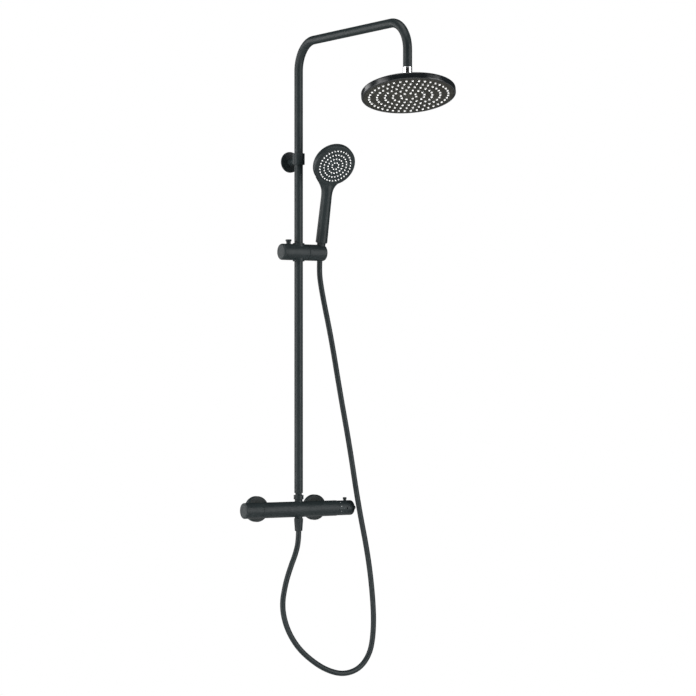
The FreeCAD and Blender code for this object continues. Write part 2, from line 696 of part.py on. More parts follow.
def hose_path():
    """Straight runs joined by tangent arcs, each as large as its two runs allow."""
    points = [V(*point) for point in HOSE_ROUTE]
    pieces = []
    radii = []
    last = points[0]
    for before, corner, after in zip(points, points[1:], points[2:]):
        run_in = corner - before
        run_out = after - corner
        reach = 0.45 * min(run_in.Length, run_out.Length)
        half_turn = run_in.getAngle(run_out) / 2
        radius = reach / math.tan(half_turn)
        radii.append(radius)
        into = V(run_in).normalize()
        out = V(run_out).normalize()
        start = corner - into * reach
        end = corner + out * reach
        towards = (out - into).normalize()
        centre = corner + towards * (radius / math.cos(half_turn))
        middle = centre - towards * radius
        pieces.append(Part.LineSegment(last, start).toShape())
        pieces.append(Part.Arc(start, middle, end).toShape())
        last = end
    pieces.append(Part.LineSegment(last, points[-1]).toShape())
    return Part.Wire(pieces), radii


def make_hose():
    path, radii = hose_path()
    direction = V(*HOSE_ROUTE[1]) - V(*HOSE_ROUTE[0])
    hose = swept(path, V(*HOSE_ROUTE[0]), direction, HOSE_R)
    print("hose arc radii, mm:", [round(radius) for radius in radii])
    print("hose length, mm:", round(path.Length, 1))
    print("hose volume over section times length:", hose.Volume / (math.pi * HOSE_R ** 2 * path.Length))
    save("shower_hose", hose)
    outline = [
        (HOSE_BORE_R, OUTLET_NUT_LOW + 0.05), (7.8, OUTLET_NUT_LOW + 0.05), (8.3, -47.4), (10.1, -20.6),
        (9.6, -20.1), (7.1, -20.1), (7.1, -32), (HOSE_BORE_R, -32),
    ]
    save("hose_outlet_nut", turned(outline, BAR))
    save("hose_outlet_washer", ring(6.9, 4.2, -31.9, -30.1, BAR))


os.makedirs("parts", exist_ok=True)
make_valve()
make_knobs()
make_riser()
make_rain_head()
make_slider()
make_handset()
make_hose()
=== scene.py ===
import json
import math

import bmesh
import bpy
from mathutils import Matrix, Vector


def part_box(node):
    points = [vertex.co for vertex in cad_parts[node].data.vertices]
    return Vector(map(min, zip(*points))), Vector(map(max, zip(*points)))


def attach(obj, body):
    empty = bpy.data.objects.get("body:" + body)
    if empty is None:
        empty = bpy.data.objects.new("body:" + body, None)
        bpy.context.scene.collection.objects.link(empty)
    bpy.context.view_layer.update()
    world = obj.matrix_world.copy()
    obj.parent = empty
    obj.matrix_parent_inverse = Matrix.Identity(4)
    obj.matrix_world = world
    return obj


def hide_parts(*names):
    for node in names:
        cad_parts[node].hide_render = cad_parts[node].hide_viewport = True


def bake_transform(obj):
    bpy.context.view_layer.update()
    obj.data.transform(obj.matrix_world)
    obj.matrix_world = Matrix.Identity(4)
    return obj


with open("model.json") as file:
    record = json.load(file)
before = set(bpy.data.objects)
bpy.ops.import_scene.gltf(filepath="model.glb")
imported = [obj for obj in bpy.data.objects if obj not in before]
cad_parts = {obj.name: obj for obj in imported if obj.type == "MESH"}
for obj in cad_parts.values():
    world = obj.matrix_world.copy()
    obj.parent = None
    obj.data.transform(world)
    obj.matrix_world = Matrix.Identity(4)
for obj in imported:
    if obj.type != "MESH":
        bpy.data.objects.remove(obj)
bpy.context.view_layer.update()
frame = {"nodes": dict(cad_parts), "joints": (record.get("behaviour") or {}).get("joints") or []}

X_AXIS = Vector((1, 0, 0))
Y_AXIS = Vector((0, 1, 0))
Z_AXIS = Vector((0, 0, 1))
MM = 0.001
ROUND_STEPS = 5           # facets in a rounded corner
SHARP_ANGLE = math.radians(32)

nodes = frame["nodes"]
joints = {joint["name"]: joint for joint in frame["joints"]}


# Places read from the frame, in millimetres

def extent(node, axis):
    low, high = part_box(node)
    return low[axis] / MM, high[axis] / MM


def middle(node):
    low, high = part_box(node)
    return (low + high) / 2 / MM


def pivot(joint):
    return Vector(joints[joint]["pos_m"]) / MM


def placed(origin, direction=Z_AXIS):
    """Matrix that takes millimetres along a local Z axis to metres in the row frame."""
    turn = Z_AXIS.rotation_difference(Vector(direction)).to_matrix().to_4x4()
    return Matrix.Translation(Vector(origin) * MM) @ turn


# Mesh tools. Local coordinates are in millimetres until a piece is finished.

def new_piece(name, mesh_builder, place):
    bmesh.ops.recalc_face_normals(mesh_builder, faces=mesh_builder.faces)
    bmesh.ops.scale(mesh_builder, vec=(MM, MM, MM), verts=mesh_builder.verts)
    mesh = bpy.data.meshes.new(name)
    mesh_builder.to_mesh(mesh)
    mesh_builder.free()
    piece = bpy.data.objects.new(name, mesh)
    bpy.context.scene.collection.objects.link(piece)
    piece.matrix_world = place
    return piece


def smooth(piece, angle=SHARP_ANGLE):
    piece.data.shade_smooth()
    piece.data.set_sharp_from_angle(angle=angle)
    weighted = piece.modifiers.new("even_shading", "WEIGHTED_NORMAL")
    weighted.keep_sharp = True
    return piece


def turns(segments):
    """Angles of evenly spaced points round a circle."""
    return [2 * math.pi * index / segments for index in range(segments)]


def rounded(corners, closed=False):
    """Outline of (radius, along) points from corners given as (radius, along[, rounding])."""
    count = len(corners)
    outline = []
    for index, corner in enumerate(corners):
        here = Vector(corner[:2])
        size = corner[2] if len(corner) > 2 else 0
        at_end = not closed and index in (0, count - 1)
        if size == 0 or at_end:
            outline.append(here)
            continue
        before = Vector(corners[index - 1][:2]) - here
        after = Vector(corners[(index + 1) % count][:2]) - here
        half = before.angle(after) / 2
        reach = min(size / math.tan(half), 0.49 * before.length, 0.49 * after.length)
        radius = reach * math.tan(half)
        start = here + before.normalized() * reach
        end = here + after.normalized() * reach
        centre = here + (before.normalized() + after.normalized()).normalized() * radius / math.sin(half)
        first = start - centre
        turn = first.angle_signed(end - centre)
        for step in range(ROUND_STEPS + 1):
            spoke = first.copy()
            spoke.rotate(Matrix.Rotation(-turn * step / ROUND_STEPS, 2))
            outline.append(centre + spoke)
    return outline


def turned_mesh(corners, segments=96, closed=False):
    """Solid of revolution about local Z. An open outline starts and ends on the axis."""
    builder = bmesh.new()
    rings = []
    for radius, along in rounded(corners, closed):
        if radius < 1e-6:
            rings.append([builder.verts.new((0, 0, along))])
            continue
        rings.append([
            builder.verts.new((radius * math.cos(turn), radius * math.sin(turn), along))
            for turn in turns(segments)
        ])
    pairs = list(zip(rings, rings[1:]))
    if closed:
        pairs.append((rings[-1], rings[0]))
    for one, other in pairs:
        join_rings(builder, one, other)
    return builder


def join_rings(builder, one, other):
    count = max(len(one), len(other))
    for index in range(count):
        after = (index + 1) % count
        if len(one) == 1:
            builder.faces.new((one[0], other[after], other[index]))
        elif len(other) == 1:
            builder.faces.new((one[index], one[after], other[0]))
        else:
            builder.faces.new((one[index], one[after], other[after], other[index]))


def turned(name, corners, place, segments=96, closed=False):
    return new_piece(name, turned_mesh(corners, segments, closed), place)


def saddle(name, bar_r, neck_r, fillet, top, place, segments=96):
    """Round neck that grows out of a bar lying along local X, with a fillet at its foot."""
    builder = bmesh.new()
    sunk = 0.4
    edge = 0.4
    profile = [(neck_r + fillet, -sunk)]
    for step in range(ROUND_STEPS + 1):
        angle = math.pi / 2 * step / ROUND_STEPS
        profile.append((neck_r + fillet * (1 - math.sin(angle)), fillet * (1 - math.cos(angle))))
    rings = []
    for radius, lift in profile:
        ring = []
        for turn in turns(segments):
            across = radius * math.sin(turn)
            height = math.sqrt(max(bar_r ** 2 - across ** 2, 0)) + lift
            ring.append(builder.verts.new((radius * math.cos(turn), across, height)))
        rings.append(ring)
    for radius, height in ((neck_r, top - edge), (neck_r - edge, top)):
        rings.append([
            builder.verts.new((radius * math.cos(turn), radius * math.sin(turn), height))
            for turn in turns(segments)
        ])
    rings.append([builder.verts.new((0, 0, top))])
    rings.insert(0, [builder.verts.new((0, 0, bar_r * 0.5))])
    for one, other in zip(rings, rings[1:]):
        join_rings(builder, one, other)
    return smooth(new_piece(name, builder, place))


def tube(name, path, radius, segments=48, end_round=0.3):
    """Solid tube along a list of points in millimetres, carried without twist."""
    builder = bmesh.new()
    tangents = []
    for index in range(len(path)):
        before = path[max(index - 1, 0)]
        after = path[min(index + 1, len(path) - 1)]
        tangents.append((after - before).normalized())
    side = tangents[0].orthogonal().normalized()
    rings = [[builder.verts.new(path[0])]]
    last = len(path) - 1
    for index, (point, tangent) in enumerate(zip(path, tangents)):
        side = (side - tangent * side.dot(tangent)).normalized()
        other = tangent.cross(side)
        sizes = [(radius, 0)]
        if index == 0:
            sizes = [(radius - end_round, 0), (radius, end_round)]
        if index == last:
            sizes = [(radius, -end_round), (radius - end_round, 0)]
        for size, shift in sizes:
            rings.append([
                builder.verts.new(
                    point + tangent * shift + (side * math.cos(turn) + other * math.sin(turn)) * size
                )
                for turn in turns(segments)
            ])
    rings.append([builder.verts.new(path[-1])])
    for one, following in zip(rings, rings[1:]):
        join_rings(builder, one, following)
    return new_piece(name, builder, Matrix.Identity(4))


def lofted_mesh(sections, rings_per_span=12, segments=72):
    """Closed skin through ellipses given as (along, centre_y, half_width, half_depth)."""
    builder = bmesh.new()
    rings = []
    last = len(sections) - 1
    for span in range(last):
        four = [Vector(sections[min(max(span + step, 0), last)]) for step in (-1, 0, 1, 2)]
        for step in range(rings_per_span + (span == last - 1)):
            t = step / rings_per_span
            value = 0.5 * (
                2 * four[1] + (four[2] - four[0]) * t
                + (2 * four[0] - 5 * four[1] + 4 * four[2] - four[3]) * t ** 2
                + (3 * four[1] - four[0] - 3 * four[2] + four[3]) * t ** 3
            )
            along, centre_y, wide, deep = value
            rings.append([
                builder.verts.new((wide * math.cos(turn), centre_y + deep * math.sin(turn), along))
                for turn in turns(segments)
            ])
    for one, other in zip(rings, rings[1:]):
        join_rings(builder, one, other)
    builder.faces.new(rings[0])
    builder.faces.new(rings[-1])
    return builder


def settled(piece):
    """Applies the piece's modifiers."""
    graph = bpy.context.evaluated_depsgraph_get()
    mesh = bpy.data.meshes.new_from_object(piece.evaluated_get(graph))
    piece.modifiers.clear()
    piece.data = mesh
    return piece


def combined(piece, others, operation):
    for other in others:
        step = piece.modifiers.new("combine", "BOOLEAN")
        step.operation = operation
        step.object = other
        step.solver = "EXACT"
    settled(piece)
    for other in others:
        bpy.data.objects.remove(other)
    return piece


def cut(piece, *cutters):
    return combined(piece, cutters, "DIFFERENCE")


def joined(piece, *others):
    return combined(piece, others, "UNION")


def softened(piece, voxel, passes):
    """Rebuilds the skin evenly, which blends the joins, and eases its edges."""
    remesh = piece.modifiers.new("skin", "REMESH")
    remesh.mode = "VOXEL"
    remesh.voxel_size = voxel * MM
    remesh.use_smooth_shade = True
    ease = piece.modifiers.new("ease", "SMOOTH")
    ease.factor = 0.5
    ease.iterations = passes
    return settled(piece)


def cluster(name, corners, points, place, segments=16):
    """One piece made of the same small turned shape at many points."""
    master = turned_mesh(corners, segments)
    template = bpy.data.meshes.new("template")
    master.to_mesh(template)
    master.free()
    builder = bmesh.new()
    for point in points:
        before = set(builder.verts)
        builder.from_mesh(template)
        bmesh.ops.translate(builder, vec=point, verts=[v for v in builder.verts if v not in before])
    bpy.data.meshes.remove(template)
    return new_piece(name, builder, place)


def ring_points(count, radius, turn):
    for index in range(count):
        angle = math.radians(turn + 360 * index / count)
        yield Vector((radius * math.cos(angle), radius * math.sin(angle), 0))


# Materials

def noise(tree, coordinates, scale, detail=3.0, rough=0.55):
    texture = tree.nodes.new("ShaderNodeTexNoise")
    texture.inputs["Scale"].default_value = scale
    texture.inputs["Detail"].default_value = detail
    texture.inputs["Roughness"].default_value = rough
    tree.links.new(coordinates, texture.inputs["Vector"])
    return texture.outputs["Fac"]


def spread(tree, value, low, high, start=0.3, end=0.7):
    """Maps the middle of a noise to a range of numbers."""
    node = tree.nodes.new("ShaderNodeMapRange")
    node.inputs["From Min"].default_value = start
    node.inputs["From Max"].default_value = end
    node.inputs["To Min"].default_value = low
    node.inputs["To Max"].default_value = high
    tree.links.new(value, node.inputs["Value"])
    return node.outputs["Result"]


def tints(tree, value, dark, light, start=0.3, end=0.7):
    ramp = tree.nodes.new("ShaderNodeValToRGB")
    ramp.color_ramp.elements[0].position = start
    ramp.color_ramp.elements[0].color = (*dark, 1)
    ramp.color_ramp.elements[1].position = end
    ramp.color_ramp.elements[1].color = (*light, 1)
    tree.links.new(value, ramp.inputs["Fac"])
    return ramp.outputs["Color"]


def painted_edge_highlight(tree, colour, highlight_colour, start, end):
    """Mixes in a lighter colour along the outer edges: a painted highlight on every edge."""
    edges = tree.nodes.new("ShaderNodeNewGeometry")
    amount = spread(tree, edges.outputs["Pointiness"], 0, 1, start, end)
    mix = tree.nodes.new("ShaderNodeMix")
    mix.data_type = "RGBA"
    mix.inputs[7].default_value = (*highlight_colour, 1)
    tree.links.new(amount, mix.inputs[0])
    tree.links.new(colour, mix.inputs[6])
    return mix.outputs[2]


def material(name, dark, light, rough, grain, grain_depth, metallic=0.0, blotch=30, **sockets):
    """Colour and roughness drift over blotches, with a painted highlight along the outer edges; grain is the
    scale of the fine bump.
    """
    made = bpy.data.materials.new(name)
    made.use_nodes = True
    tree = made.node_tree
    shader = tree.nodes["Principled BSDF"]
    coordinates = tree.nodes.new("ShaderNodeTexCoord").outputs["Object"]
    broad = noise(tree, coordinates, blotch, 4)
    fine = noise(tree, coordinates, grain, 2)
    colour = tints(tree, broad, dark, light)
    # a lighter copy of the colour, painted onto the outer edges as a highlight
    edge = [min(1.0, channel * 1.5 + 0.004) for channel in light]
    tree.links.new(painted_edge_highlight(tree, colour, edge, 0.52, 0.60), shader.inputs["Base Color"])
    tree.links.new(spread(tree, noise(tree, coordinates, blotch * 3), *rough), shader.inputs["Roughness"])
    bump = tree.nodes.new("ShaderNodeBump")
    bump.inputs["Strength"].default_value = 1.0
    bump.inputs["Distance"].default_value = grain_depth * MM
    tree.links.new(fine, bump.inputs["Height"])
    tree.links.new(bump.outputs["Normal"], shader.inputs["Normal"])
    shader.inputs["Metallic"].default_value = metallic
    for socket, value in sockets.items():
        shader.inputs[socket.replace("_", " ")].default_value = value
    return made


DIM = {"Specular_IOR_Level": 0.16}
looks = {
    "satin_black": material(
        "satin_black", (0.009, 0.013, 0.014), (0.012, 0.017, 0.018), (0.40, 0.48), 1500, 0.002, **DIM,
    ),
    "black_plastic": material(
        "black_plastic", (0.009, 0.013, 0.014), (0.012, 0.017, 0.018), (0.42, 0.50), 2200, 0.003, **DIM,
    ),
    "grey_plastic": material(
        "grey_plastic", (0.040, 0.043, 0.045), (0.050, 0.053, 0.055), (0.38, 0.46), 2200, 0.008, **DIM,
    ),
    "gloss_black": material(
        "gloss_black", (0.004, 0.005, 0.006), (0.006, 0.008, 0.009), (0.18, 0.25), 400, 0.002,
        Specular_IOR_Level=0.34,
    ),
    "spray_face": material(
        "spray_face", (0.013, 0.013, 0.010), (0.018, 0.018, 0.014), (0.36, 0.46), 1800, 0.003, **DIM,
    ),
    "white_silicone": material(
        "white_silicone", (0.80, 0.80, 0.78), (0.88, 0.88, 0.87), (0.40, 0.52), 1200, 0.01,
    ),
    "chrome": material("chrome", (0.76, 0.77, 0.78), (0.82, 0.83, 0.84), (0.05, 0.10), 300, 0.001, 1.0),
    "hose_pvc": material(
        "hose_pvc", (0.009, 0.013, 0.014), (0.012, 0.017, 0.018), (0.38, 0.46), 900, 0.003, **DIM,
    ),
    "brass": material("brass", (0.55, 0.40, 0.17), (0.66, 0.50, 0.24), (0.24, 0.36), 600, 0.006, 1.0),
    "steel": material("steel", (0.48, 0.48, 0.47), (0.58, 0.58, 0.57), (0.22, 0.34), 700, 0.004, 1.0),
    "rubber": material("rubber", (0.016, 0.016, 0.016), (0.024, 0.024, 0.024), (0.62, 0.74), 1300, 0.015),
    "white_plastic": material(
        "white_plastic", (0.70, 0.70, 0.68), (0.78, 0.78, 0.76), (0.36, 0.46), 1400, 0.008,
    ),
    "scale_paint": material(
        "scale_paint", (0.33, 0.34, 0.34), (0.40, 0.41, 0.41), (0.45, 0.55), 1500, 0.004,
    ),
}


def finish(piece, body, look, *stands_for, slot=None):
    piece.data.materials.clear()
    piece.data.materials.append(looks[look])
    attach(piece, body)
    if stands_for:
        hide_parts(*stands_for)
    return piece


def dress_cad_nodes():
    """Every node takes the look that its own slot names."""
    for node in nodes.values():
        for place in node.material_slots:
            name = place.material.name.split(".")[0] if place.material else ""
            place.material = looks.get(name, looks["satin_black"])


# Valve

BAR_R = 17.25
KNOB_WALL = 3.0
SEAM = 0.4                # gap between the bar and a knob
TEMPERATURE_KNOB_R = 16.5
SCALE_DOT_ANGLES = (51.4, 13.7, -24.0)
axis_y = pivot("temperature_turn").y
bar_left, bar_right = extent("valve_body", 0)
BAR = Vector((0, axis_y, 0))


def make_bar():
    mouth_r, mouth_depth, bore_r = 15.0, 10.0, 12.0
    corners = [
        (bore_r, bar_left + mouth_depth), (mouth_r, bar_left + mouth_depth), (mouth_r, bar_left, 0.3),
        (BAR_R, bar_left, 0.5), (BAR_R, bar_right, 0.5), (mouth_r, bar_right, 0.3),
        (mouth_r, bar_right - mouth_depth), (bore_r, bar_right - mouth_depth),
    ]
    bar = smooth(turned("valve_bar", corners, placed(BAR, X_AXIS), 128, closed=True))
    finish(bar, "column", "satin_black", "valve_body")
    riser_neck = saddle("riser_neck", BAR_R, 8.5, 2.0, 21.6, placed(BAR))
    finish(riser_neck, "column", "satin_black")
    below = placed(BAR) @ Matrix.Rotation(math.pi, 4, "X")
    outlet_neck = saddle("outlet_neck", BAR_R, 8.5, 1.5, 20.0, below)
    finish(outlet_neck, "column", "satin_black")
    for word in ("left", "right"):
        inlet = Vector((middle("inlet_connector_" + word).x, axis_y, 0))
        to_wall = placed(inlet) @ Matrix.Rotation(-math.pi / 2, 4, "X")
        neck = saddle("inlet_neck_" + word, BAR_R, 11.0, 0.5, 22.9, to_wall)
        finish(neck, "column", "satin_black")


def make_inlets():
    for word in ("left", "right"):
        inlet = Vector((middle("inlet_connector_" + word).x, 0, 0))
        wall_side = placed(inlet, Y_AXIS)
        nut_low, nut_high = extent("inlet_union_nut_" + word, 1)
        nut_r = 15.8
        nut = turned("union_nut_" + word, [
            (11.4, nut_low), (nut_r, nut_low, 1.2), (nut_r, nut_high, 1.2), (13.2, nut_high, 0.3),
            (13.2, nut_low + 2), (11.4, nut_low + 2),
        ], wall_side, 128, closed=True)
        for side in (-1, 1):
            foot = inlet + Vector((0, (nut_low + nut_high) / 2, side * 14.6))
            flat = box_piece((-20, -6, 0), (20, 6, 6), placed(foot, Z_AXIS * side))
            cut(nut, flat)
        finish(smooth(nut), "column", "satin_black", "inlet_union_nut_" + word)
        front, back = extent("inlet_rosette_" + word, 1)
        rosette_r = 28.5
        rosette = turned("rosette_" + word, [
            (13.6, front, 0.3), (rosette_r, front, 3.2), (rosette_r, back, 0.2), (rosette_r - 1.5, back),
            (rosette_r - 1.5, front + 1.5, 2.0), (13.6, front + 1.5),
        ], wall_side, 128, closed=True)
        finish(smooth(rosette), "column", "satin_black", "inlet_rosette_" + word)


def box_piece(low, high, place):
    builder = bmesh.new()
    bmesh.ops.create_cube(builder, size=1)
    size = Vector(high) - Vector(low)
    bmesh.ops.scale(builder, vec=size, verts=builder.verts)
    bmesh.ops.translate(builder, vec=(Vector(high) + Vector(low)) / 2, verts=builder.verts)
    return new_piece("cutter", builder, place)


def drill(radius, low, high, place, segments=48):
    return turned("cutter", [(0, low), (radius, low), (radius, high), (0, high)], place, segments)


def make_diverter_knob():
    face = extent("diverter_knob", 0)[0]
    length = bar_left - face
    inner = BAR_R - KNOB_WALL
    recess_r, recess = 14.6, 1.2
    end = length - 5
    outline = [
        (4.05, 4), (7.0, 4), (7.0, end), (inner, end), (inner, SEAM, 0.3), (BAR_R, SEAM, 0.5),
        (BAR_R, length, 1.5), (recess_r, length, 0.2), (recess_r, length - recess), (5, length - recess),
        (5, length - 3.4), (2.2, length - 3.4), (2.2, 20), (4.05, 20),
    ]
    outward = placed((bar_left, axis_y, 0), -X_AXIS)
    knob = turned("diverter_knob_shell", outline, outward, 128, closed=True)
    finish(smooth(knob), "diverter", "satin_black", "diverter_knob")
    disc = turned("diverter_knob_disc", [
        (0, length - 1.1), (14.5, length - 1.1), (14.5, length + 0.4, 0.5), (0, length + 0.4),
    ], outward, 128)
    finish(smooth(disc), "diverter", "black_plastic", "diverter_knob_cap")


def set_screw_place():
    return placed((middle("safety_button").x - 3.1, axis_y, 0), -Y_AXIS)


def make_temperature_knob():
    length = extent("temperature_knob", 0)[1] - bar_right
    knob_r = TEMPERATURE_KNOB_R
    inner = knob_r - KNOB_WALL
    end = length - 5
    outline = [
        (4.05, 4), (7.0, 4), (7.0, end), (inner, end), (inner, SEAM, 0.3), (knob_r, SEAM, 0.5),
        (knob_r, length, 3.2), (5, length, 0.3), (5, length - 3.4), (2.2, length - 3.4), (2.2, 20),
        (4.05, 20),
    ]
    outward = placed((bar_right, axis_y, 0), X_AXIS)
    knob = turned("temperature_knob_shell", outline, outward, 128, closed=True)
    button = middle("safety_button")
    button_hole = drill(3.4, 9, 20, placed((button.x, axis_y, 0)))
    screw_hole = drill(1.9, 14.2, 18, set_screw_place())
    cut(knob, button_hole, screw_hole)
    finish(smooth(knob), "temperature", "satin_black", "temperature_knob")


def make_set_screw():
    screw = turned("temperature_set_screw", [
        (0, 14.0), (0.9, 14.0), (0.9, 14.8), (1.75, 14.8, 0.2), (1.75, 13.5), (0, 13.5),
    ], set_screw_place(), 24)
    finish(smooth(screw), "temperature", "satin_black")


def make_knob_nub():
    nub_low = -1.1
    end_x = extent("temperature_knob", 0)[1]
    nub = turned("temperature_knob_nub", [
        (0, nub_low), (4.9, nub_low), (4.9, 0.05), (6.5, 0.05, 0.2), (6.3, 1.5, 1.0),
        (4.4, 8.6, 0.6), (3.4, 9.5, 0.6), (0, 9.5),
    ], placed((end_x, axis_y, 0), X_AXIS), 64)
    finish(smooth(nub), "temperature", "grey_plastic", "temperature_knob_cap", slot="black_plastic")


def make_scale_dots():
    dot_x = bar_right + 6
    knob_r = TEMPERATURE_KNOB_R
    for number, angle in enumerate(SCALE_DOT_ANGLES):
        direction = Vector((0, -math.cos(math.radians(angle)), math.sin(math.radians(angle))))
        dot = turned("scale_dot_" + str(number + 1), [
            (0, knob_r - 0.3), (0.8, knob_r - 0.3), (0.8, knob_r + 0.06, 0.1), (0, knob_r + 0.06),
        ], placed((dot_x, axis_y, 0), direction), 32)
        finish(smooth(dot), "temperature", "scale_paint", slot="white_plastic")


def make_safety_button():
    x = middle("safety_button").x
    top = extent("safety_button", 2)[1]
    button = turned("safety_button_cap", [
        (0, 10.6), (4.3, 10.6), (4.3, 12.2), (3.2, 12.2), (3.2, 18.6), (4.2, 18.6, 0.4),
        (4.2, top, 0.9), (2.4, top, 0.3), (2.2, top - 0.35, 0.3), (0, top - 0.35),
    ], placed((x, axis_y, 0)), 64)
    finish(smooth(button), "safety_button", "black_plastic", "safety_button")


# Riser, bracket and arm

TUBE_R = 9.5
TUBE_WALL = 1.2
BEND_R = 62.0
BEND_STEPS = 32


def make_riser():
    low = extent("riser_nut", 2)
    nut = turned("riser_union_nut", [
        (8.3, low[0]), (10.9, low[0], 0.7), (10.9, low[1], 0.7), (7.35, low[1]), (7.35, 29.5), (8.3, 29.5),
    ], placed(BAR), 96, closed=True)
    finish(smooth(nut), "column", "satin_black", "riser_nut")
    top = extent("lower_riser_tube", 2)[1]
    foot = 36.0
    riser = turned("riser_tube", [
        (5.0, 28.1), (7.8, 28.1), (7.8, 29.4), (7.3, 29.4), (7.3, foot), (TUBE_R, foot, 0.8),
        (TUBE_R, top, 0.4), (TUBE_R - TUBE_WALL, top, 0.2), (TUBE_R - TUBE_WALL, foot + 6), (5.0, foot + 3),
    ], placed(BAR), 96, closed=True)
    finish(smooth(riser), "column", "satin_black", "lower_riser_tube")


def make_bracket():
    low, high = extent("bracket_sleeve", 2)
    sleeve_r = 13.5
    sleeve = turned("bracket_collar", [
        (TUBE_R + 0.35, low, 0.3), (sleeve_r, low, 0.9), (sleeve_r, high, 0.9), (TUBE_R + 0.35, high, 0.3),
    ], placed(BAR), 96, closed=True)
    finish(smooth(sleeve), "column", "satin_black", "bracket_sleeve")
    stub_z = middle("bracket_stub").z
    to_wall = placed((0, axis_y, stub_z)) @ Matrix.Rotation(-math.pi / 2, 4, "X")
    neck = saddle("bracket_neck", sleeve_r, 8.0, 1.0, 19.4, to_wall @ Matrix.Rotation(math.pi / 2, 4, "Z"))
    finish(neck, "column", "satin_black")
    stub = turned("bracket_post", [
        (0, 11.5), (4.95, 11.5), (4.95, 19.6), (8.0, 19.6, 0.3), (8.0, 60.6, 0.3), (4.0, 60.6),
        (4.0, 36), (0, 36),
    ], placed((0, axis_y, stub_z), Y_AXIS))
    finish(smooth(stub), "column", "satin_black", "bracket_stub")
    front, back = extent("bracket_rosette", 1)
    cover_r = 23.0
    cover = turned("bracket_cover_disc", [
        (8.1, front, 0.3), (cover_r, front, 1.0), (cover_r, back, 0.3), (8.1, back),
    ], placed((0, 0, stub_z), Y_AXIS), 128, closed=True)
    finish(smooth(cover), "bracket_cover", "satin_black", "bracket_rosette")


def quarter_bend():
    """Distances along the first direction and away from it, round a quarter of a bend."""
    for step in range(BEND_STEPS + 1):
        angle = math.pi / 2 * step / BEND_STEPS
        yield BEND_R * math.sin(angle), BEND_R * (1 - math.cos(angle))


def arm_path():
    """Up from the foot, forward along the top, and down to the collar of the ball joint."""
    foot = extent("arm_tube", 2)[0]
    top = extent("arm_tube", 2)[1] - TUBE_R
    ball = pivot("head_tilt")
    collar_top = ball.z + 27
    rise_end = top - BEND_R
    run_start = axis_y - BEND_R
    run_end = ball.y + BEND_R
    path = [Vector((0, axis_y, foot + (rise_end - foot) * step / 6)) for step in range(6)]
    path += [Vector((0, axis_y - away, rise_end + along)) for along, away in quarter_bend()]
    path += [Vector((0, run_start - (run_start - run_end) * step / 8, top)) for step in range(1, 8)]
    path += [Vector((0, run_end - along, top - away)) for along, away in quarter_bend()]
    path.append(Vector((0, ball.y, collar_top)))
    return path


def make_arm():
    arm = tube("arm_pipe", arm_path(), TUBE_R, 64, 0.4)
    finish(smooth(arm), "arm", "satin_black", "arm_tube")


# Rain head

HEAD_TILT = -14.8
HEAD_LEAN = 5.4
HEAD_BALL_HEIGHT = 35.0   # from the spray face to the middle of the ball
HEAD_R = 97.5
HEAD_PLATE_R = 93.0
HEAD_RINGS = 5
HEAD_RING_STEP = 16.35
NOZZLE_R = 2.15
HEAD_NOZZLE_TURN = -18.0


def head_place():
    ball = pivot("head_tilt")
    tilt = Matrix.Rotation(math.radians(HEAD_TILT), 4, "X")
    lean = Matrix.Rotation(math.radians(HEAD_LEAN), 4, "Y")
    below_ball = Matrix.Translation((0, 0, -HEAD_BALL_HEIGHT * MM))
    return Matrix.Translation(ball * MM) @ (tilt @ lean) @ below_ball


def head_points():
    for number in range(1, HEAD_RINGS + 1):
        yield from ring_points(8 * number, HEAD_RING_STEP * number, HEAD_NOZZLE_TURN)


def make_ball_joint():
    ball = pivot("head_tilt")
    ball_r = 9.0
    collar_r = TUBE_R + 0.2
    corners = [(0, -ball_r)]
    for step in range(1, 12):
        angle = math.pi * (step / 14 - 0.5)
        corners.append((ball_r * math.cos(angle), ball_r * math.sin(angle)))
    corners += [
        (4.3, 8.2, 0.8), (4.3, 14.5, 0.8), (collar_r, 14.5, 1.2), (collar_r, 26.9, 0.3), (8.2, 26.9),
        (8.2, 44.9), (0, 44.9),
    ]
    joint = turned("head_ball_joint", corners, placed(ball), 96)
    finish(smooth(joint), "arm", "chrome", "ball_joint")


